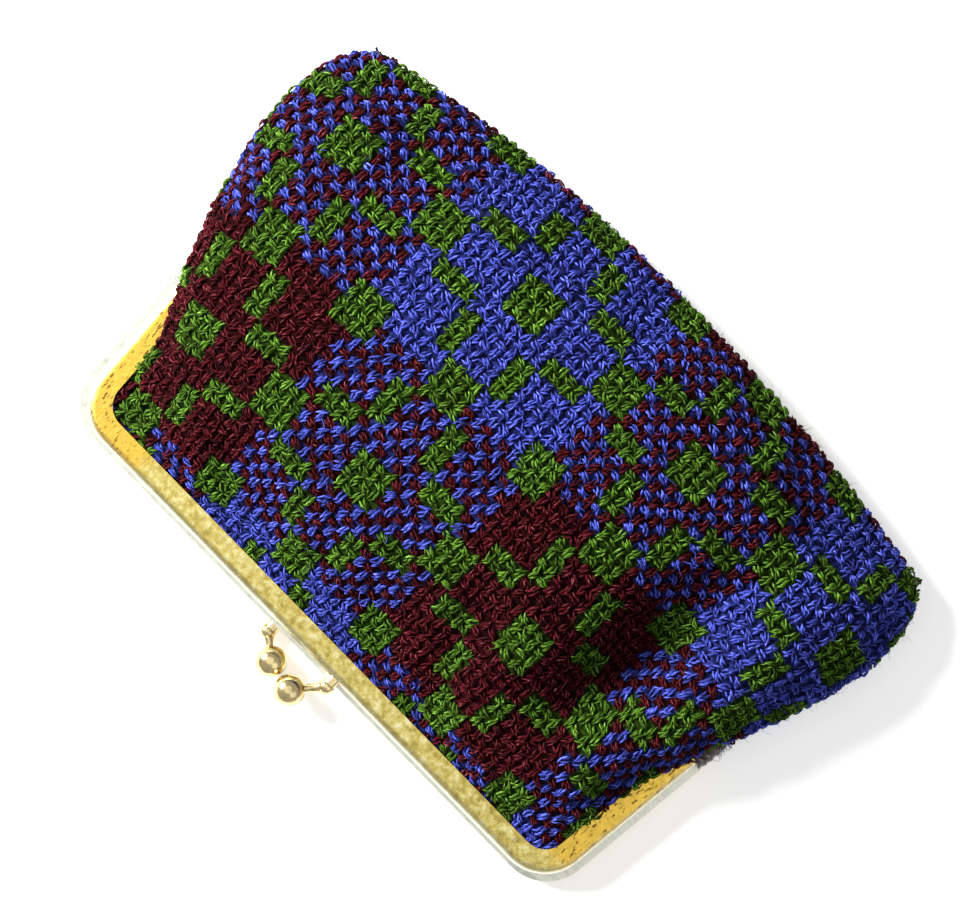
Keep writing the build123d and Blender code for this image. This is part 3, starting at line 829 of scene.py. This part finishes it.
def build_wool(side, materials):
    """Yarn floats and stray fibres of one side, piece by piece, and where each colour's floats are."""
    sizes = bpy.context.scene.purse_sizes
    rng = np.random.default_rng(RNG_SEED if side == "front" else RNG_SEED + 1)
    net, inside, first_row = woven_side(side)
    along = unit(np.gradient(net, axis=0))
    sideways = unit(np.gradient(net, axis=1))
    normal = unit(np.cross(sideways, along))
    groups = woven_floats(inside, first_row)
    pieces = []
    for colour, cells in groups.items():
        rows, columns, is_warp = (np.array(part) for part in zip(*cells))
        is_warp = is_warp.astype(bool)
        up = normal[rows, columns]
        centre = net[rows, columns] + YARN_STRAY * rng.standard_normal((len(cells), 3)) - up * YARN_SINK
        run = unit(np.where(is_warp[:, None], along[rows, columns], sideways[rows, columns]))
        flank = np.cross(up, run)
        pitch = np.where(is_warp, sizes.weft_pitch, sizes.warp_pitch) / MM
        float_sizes = {"length": FLOAT_LENGTH * pitch, "width": sizes.yarn_width / MM,
                       "height": sizes.yarn_height / MM, "strand": sizes.strand_radius / MM,
                       "slant": sizes.twist}
        points, quads, caps, uv_quads, uv_caps = float_mesh(centre, run, flank, up, float_sizes, rng)
        points[:, 2] = np.maximum(points[:, 2], ABOVE_FLOOR)
        yarn = new_mesh_object(f"{side}_{colour}_yarn", points, [quads, caps], materials[colour],
                               np.concatenate([uv_quads, uv_caps]))
        share = len(cells) / inside.sum()
        picked = rng.integers(0, len(cells), int(sizes.stray_fibres * share))
        scatter = HAIR_SCATTER * rng.standard_normal((len(picked), 3)) * (1 - 0.8 * up[picked])
        hair, quads, ends = fibre_mesh(centre[picked] + up[picked] * HAIR_RISE + scatter, up[picked], rng)
        hair[:, 2] = np.maximum(hair[:, 2], HAIR_ABOVE_FLOOR)
        uv_hair = np.repeat(rng.uniform(0, UV_SPREAD, (len(picked), 2)), (FIBRE_STEPS - 1) * 12, axis=0)
        fuzz = new_mesh_object(f"{side}_{colour}_fuzz", hair, [quads, ends], materials[colour],
                               np.concatenate([uv_hair, np.zeros((ends.size, 2))]))
        for piece in (yarn, fuzz):
            pieces.append(piece)
    crossings = {name: [net[row, column] for row, column, _warp in cells] for name, cells in groups.items()}
    return pieces, crossings


def paint_gap_shade(sheet, crossings, colours):
    """Give each face of the sheet under the yarns a painted shade, a dark tone of the yarn nearest to it."""
    tree = KDTree(sum(len(places) for places in crossings.values()))
    for number, (name, places) in enumerate(crossings.items()):
        sheet.data.materials.append(gap_shade_material(f"{name}_ground", colours[name]))
        for place in places:
            tree.insert(place * MM, number)
    tree.balance()
    tones = [tree.find(face.center)[1] for face in sheet.data.polygons]
    sheet.data.polygons.foreach_set("material_index", tones)


GROUND_RISE = 0.12        # the ground lies this far above the net of yarns
GROUND_SWELL = 0.42       # and this much further at the sides, where the yarns turn away
GROUND_THICKNESS = 0.9
REPLACED_CLOTH = {"front": ("front_cloth", "front_fold_cloth"), "back": ("pouch_cloth", "back_cloth")}


class PURSE_OT_wool(bpy.types.Operator):
    """Weave the wool of the front, the fold and the back, yarn by yarn"""

    bl_idname = "purse.wool"
    bl_label = "Double-woven wool"

    def execute(self, context):
        colours = context.scene.purse_colours
        tints = {name: tuple(getattr(colours, name)) for name in ("blue", "maroon", "green")}
        materials = {name: wool_material(f"{name}_wool", tint) for name, tint in tints.items()}
        for side, surface in (("front", front_surface), ("back", back_surface)):
            base = surface(FINE_ALONG, FINE_ACROSS, -GROUND_RISE)[::2, ::2]
            swell = GROUND_SWELL * np.abs(across(FINE_ACROSS)[::2]) ** 12
            base = offset(base, swell[None, :, None])
            sheet = sheet_object(f"{side}_wool_ground", base, GROUND_THICKNESS, None)
            yarns, crossings = build_wool(side, materials)
            # The sheet under the yarns is painted with shade in the tone of the nearest yarn.
            paint_gap_shade(sheet, crossings, tints)
            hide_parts(*REPLACED_CLOTH[side])
            for piece in [sheet, *yarns]:
                if side == "front":
                    follow_mouth(piece)
                else:
                    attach(piece, "rear_half")
        return {"FINISHED"}


HINGE_SLACK = 3.0         # extra depth of the lining where the mouth folds
SLACK_CENTRE = 6.0        # the slack is deepest this far before the hinge line
SLACK_WIDTH = 10
LINING_THICKNESS = 0.3
BACK_LINING_GAP = 1.5


class PURSE_OT_lining(bpy.types.Operator):
    """Hang the satin lining inside the wool"""

    bl_idname = "purse.lining"
    bl_label = "Satin lining"

    def execute(self, context):
        gap = context.scene.purse_sizes.lining_gap / MM
        satin = lining_material(context.scene.purse_colours.lining)
        grid = front_surface(FINE_ALONG, FINE_ACROSS, gap)[::2, ::3]
        # The lining hangs deeper where the wool folds up as the mouth opens.
        middle = np.cos(across(FINE_ACROSS)[::3] * math.pi / 2)[None, :, None] ** 0.5
        past_slack = (grid[..., 1:2] - HINGE_Y + SLACK_CENTRE) / SLACK_WIDTH
        front_grid = offset(grid, -HINGE_SLACK * middle * np.exp(-past_slack ** 2))
        back_grid = back_surface(64, 90, BACK_LINING_GAP)
        front = sheet_object("front_satin_lining", front_grid, LINING_THICKNESS, satin)
        back = sheet_object("back_satin_lining", back_grid, LINING_THICKNESS, satin)
        for obj, surface, nodes in ((front, front_grid, ("front_lining", "front_fold_lining")),
                                    (back, back_grid, ("back_lining", "pouch_lining"))):
            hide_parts(*nodes)
        puckers = [hinge_pucker(side, satin) for side in (-1, 1)]
        for obj in (front, *puckers):
            follow_mouth(obj)
        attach(back, "rear_half")
        return {"FINISHED"}


# Section of the gathered lining over a hinge, as (x, z) points from the mouth to the hinge's ear.
PUCKER_SECTION = np.array([(60.5, 7.3), (63.2, 7.9), (65.6, 7.9), (67.0, 6.9), (67.6, 5.2), (67.4, 3.6)])
PUCKER_ALONG = 44
PUCKER_ACROSS = 22


def hinge_pucker(side, satin):
    """Gathered lining that shows over a hinge, in small pleats across its length."""
    distance = travelled(PUCKER_SECTION)
    places = np.linspace(0, distance[-1], PUCKER_ACROSS)
    x = np.interp(places, distance, PUCKER_SECTION[:, 0])
    z = np.interp(places, distance, PUCKER_SECTION[:, 1])
    y = np.linspace(-5.6, 5.2, PUCKER_ALONG)
    pleats = 0.34 * np.sin(y * 4.1 + 0.5 * np.sin(y * 1.7)) + 0.16 * np.sin(y * 9.3 + 1.0)
    arch = np.clip(1 - (np.abs(y + 0.4) / 6.2) ** 2.4, 0, 1)
    fade = np.sin(np.linspace(0.12, math.pi - 0.12, PUCKER_ACROSS))
    grid = np.empty((PUCKER_ALONG, PUCKER_ACROSS, 3))
    grid[..., 0] = side * (x[None, :] - 0.9 * (1 - arch)[:, None] + 0.5 * pleats[:, None] * fade)
    grid[..., 1] = y[:, None] + 0.25 * np.sin(x * 2.3)[None, :]
    grid[..., 2] = z[None, :] - 0.8 * (1 - arch)[:, None] + pleats[:, None] * fade
    if side < 0:
        grid = grid[:, ::-1]
    name = "right" if side > 0 else "left"
    return sheet_object(f"{name}_hinge_pucker", grid, 0.22, satin)


def finish_nodes(names, material):
    """Give CAD nodes that stay in sight a material."""
    for name in names:
        for node_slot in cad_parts[name].material_slots:
            node_slot.material = material


class PURSE_OT_metal(bpy.types.Operator):
    """Give the frames, clasp knobs and hinge rivets their worn plating"""

    bl_idname = "purse.metal"
    bl_label = "Worn metal"

    def execute(self, context):
        colours = context.scene.purse_colours
        finish_nodes(["rear_frame"], gilt_material("rear_gilt", colours.gilt, colours.rubbed_and_reflecting, True))
        finish_nodes(["front_frame"], gilt_material("front_gilt", colours.gilt, colours.rubbed_and_reflecting, False))
        finish_nodes(["rear_clasp_knob", "front_clasp_knob"],
                     polished_material("knob_plating", (0.70, 0.56, 0.29), 0.10))
        finish_nodes(["left_hinge_rivet", "right_hinge_rivet"],
                     polished_material("rivet_plating", (0.55, 0.44, 0.27), 0.3))
        return {"FINISHED"}


TUFT_ROOT = (66.3, HINGE_Y + 0.9, 6.3)
TUFT_SPREAD = (0.7, 1.3, 0.3)
TUFT_HEADING = (2.16, -0.36, 0.24)
TUFT_HAIRS = 130


def frayed_tuft(material):
    """Frayed end of the seam thread standing out at the right hinge."""
    rng = np.random.default_rng(RNG_SEED + 2)
    root = np.array(TUFT_ROOT) + rng.standard_normal((TUFT_HAIRS, 3)) * TUFT_SPREAD
    points, quads, ends = fibre_mesh(root, np.tile(TUFT_HEADING, (TUFT_HAIRS, 1)), rng, 2.0)
    return new_mesh_object("lilac_tuft", points, [quads, ends], material,
                           np.tile([0.5, 0.3], (quads.size + ends.size, 1)))


class PURSE_OT_trim(bpy.types.Operator):
    """Finish the packing cords and the seam stitches"""

    bl_idname = "purse.trim"
    bl_label = "Cords and stitches"

    def execute(self, context):
        paper = thread_material("packing_paper", (0.42, 0.31, 0.19))
        lilac = thread_material("seam_cotton", (0.55, 0.50, 0.76))
        finish_nodes(["rear_packing_cord", "front_packing_cord"], paper)
        finish_nodes(["left_seam_thread", "right_seam_thread"], lilac)
        tuft = frayed_tuft(lilac)
        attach(tuft, "rear_half")
        return {"FINISHED"}


FLOOR_HALF = 1500
VIEW_CENTRE = (-3.6, 6.1)
VIEW_TOP = 7.4            # height of the plane that the view width is measured in
VIEW_WIDTH = 177.8
VIEW_TURN = math.atan2(0.7156, 0.6985)
CAMERA_DISTANCE = 400
SENSOR_WIDTH = 36
# Lamps by the camera's right, its up and the height: metres aside, ahead and above, width, watts, colour.
LAMPS = (("key", -0.60, 0.40, 0.42, 0.36, 23.0, (1.0, 0.975, 0.94)),
         ("fill", 0.45, -0.45, 0.7, 0.7, 1.1, (0.97, 0.98, 1.0)),
         ("overhead", -0.05, 0.12, 0.95, 1.0, 1.8, (1.0, 0.99, 0.97)))
SKY_ON_WOOL = 0.18
SKY_IN_METAL = 0.50


class PURSE_OT_stage(bpy.types.Operator):
    """Lay the pale floor and set the soft light and the camera"""

    bl_idname = "purse.stage"
    bl_label = "Floor, light and camera"

    def execute(self, context):
        colours = context.scene.purse_colours
        paper, tree, shader = new_material("floor_paper", Roughness=0.9, Specular_IOR_Level=0.1)
        grain = noise(tree, coordinates(tree, (900, 900, 900)))
        tones = ramp(tree, grain, [(0.3, shade(colours.floor, 0.985)), (0.7, colours.floor)])
        tree.links.new(tones, shader.inputs["Base Color"])
        shader.inputs["Emission Color"].default_value = (1, 1, 1, 1)
        shader.inputs["Emission Strength"].default_value = 0.45
        corners = FLOOR_HALF * np.array([(-1, -1, 0), (1, -1, 0), (1, 1, 0), (-1, 1, 0)], float)
        floor = new_mesh_object("floor", corners, [np.array([[0, 1, 2, 3]])], paper)
        camera = bpy.data.cameras.new("camera")
        camera.sensor_width = SENSOR_WIDTH
        camera.lens = SENSOR_WIDTH * CAMERA_DISTANCE / VIEW_WIDTH
        camera.clip_start = 0.01
        eye = bpy.data.objects.new("camera", camera)
        eye.location = np.array((*VIEW_CENTRE, CAMERA_DISTANCE + VIEW_TOP)) * MM
        eye.rotation_euler = (0, 0, VIEW_TURN)
        context.collection.objects.link(eye)
        context.scene.camera = eye
        # Key light from the upper left of the camera's view, a broad fill from the other side.
        right = np.array((math.cos(VIEW_TURN), math.sin(VIEW_TURN), 0))
        up = np.array((-math.sin(VIEW_TURN), math.cos(VIEW_TURN), 0))
        target = np.array((*VIEW_CENTRE, 8)) * MM
        for name, aside, ahead, above, width, power, colour in LAMPS:
            lamp = bpy.data.lights.new(name, "AREA")
            lamp.shape = "DISK"
            lamp.size = width
            lamp.energy = power
            lamp.color = colour
            obj = bpy.data.objects.new(name, lamp)
            obj.location = target + right * aside + up * ahead + np.array((0, 0, above))
            obj.rotation_euler = direction_to_euler(target - np.array(obj.location))
            context.collection.objects.link(obj)
        world = bpy.data.worlds.new("studio")
        world.use_nodes = True
        sky = world.node_tree.nodes["Background"]
        sky.inputs["Color"].default_value = (1.0, 1.0, 1.0, 1)
        # The metal mirrors a bright room that lights the wool only a little.
        mirrored = add_node(world.node_tree, "ShaderNodeLightPath").outputs["Is Glossy Ray"]
        strength = graded(world.node_tree, mirrored, 0, 1, SKY_ON_WOOL, SKY_IN_METAL)
        world.node_tree.links.new(strength, sky.inputs["Strength"])
        context.scene.world = world
        context.scene.view_settings.view_transform = "Standard"
        return {"FINISHED"}


def direction_to_euler(direction):
    """Rotation that points a light's -Z along a direction."""
    return Vector(direction).to_track_quat("-Z", "Y").to_euler()


class PURSE_PT_panel(bpy.types.Panel):
    """Buttons of the purse in the sidebar"""

    bl_label = "Clasp Purse"
    bl_idname = "PURSE_PT_panel"
    bl_space_type = "VIEW_3D"
    bl_region_type = "UI"
    bl_category = "Clasp Purse"

    def draw(self, context):
        for operator in OPERATORS:
            self.layout.operator(operator.bl_idname)
        for group in (context.scene.purse_sizes, context.scene.purse_colours):
            for name in group.bl_rna.properties.keys():
                if name not in ("rna_type", "name"):
                    self.layout.prop(group, name)


OPERATORS = (PURSE_OT_stage, PURSE_OT_wool, PURSE_OT_lining, PURSE_OT_metal, PURSE_OT_trim)
CLASSES = (PurseSizes, PurseColours, *OPERATORS, PURSE_PT_panel)


def register():
    """Register the classes and attach the settings to the scene."""
    for item in CLASSES:
        bpy.utils.register_class(item)
    bpy.types.Scene.purse_sizes = bpy.props.PointerProperty(type=PurseSizes)
    bpy.types.Scene.purse_colours = bpy.props.PointerProperty(type=PurseColours)


def unregister():
    """Remove the settings and the classes."""
    del bpy.types.Scene.purse_colours
    del bpy.types.Scene.purse_sizes
    for item in reversed(CLASSES):
        bpy.utils.unregister_class(item)


def main():
    """Build every piece in order."""
    register()
    bpy.ops.purse.stage()
    bpy.ops.purse.wool()
    bpy.ops.purse.lining()
    bpy.ops.purse.metal()
    bpy.ops.purse.trim()


if __name__ == "__main__":
    main()
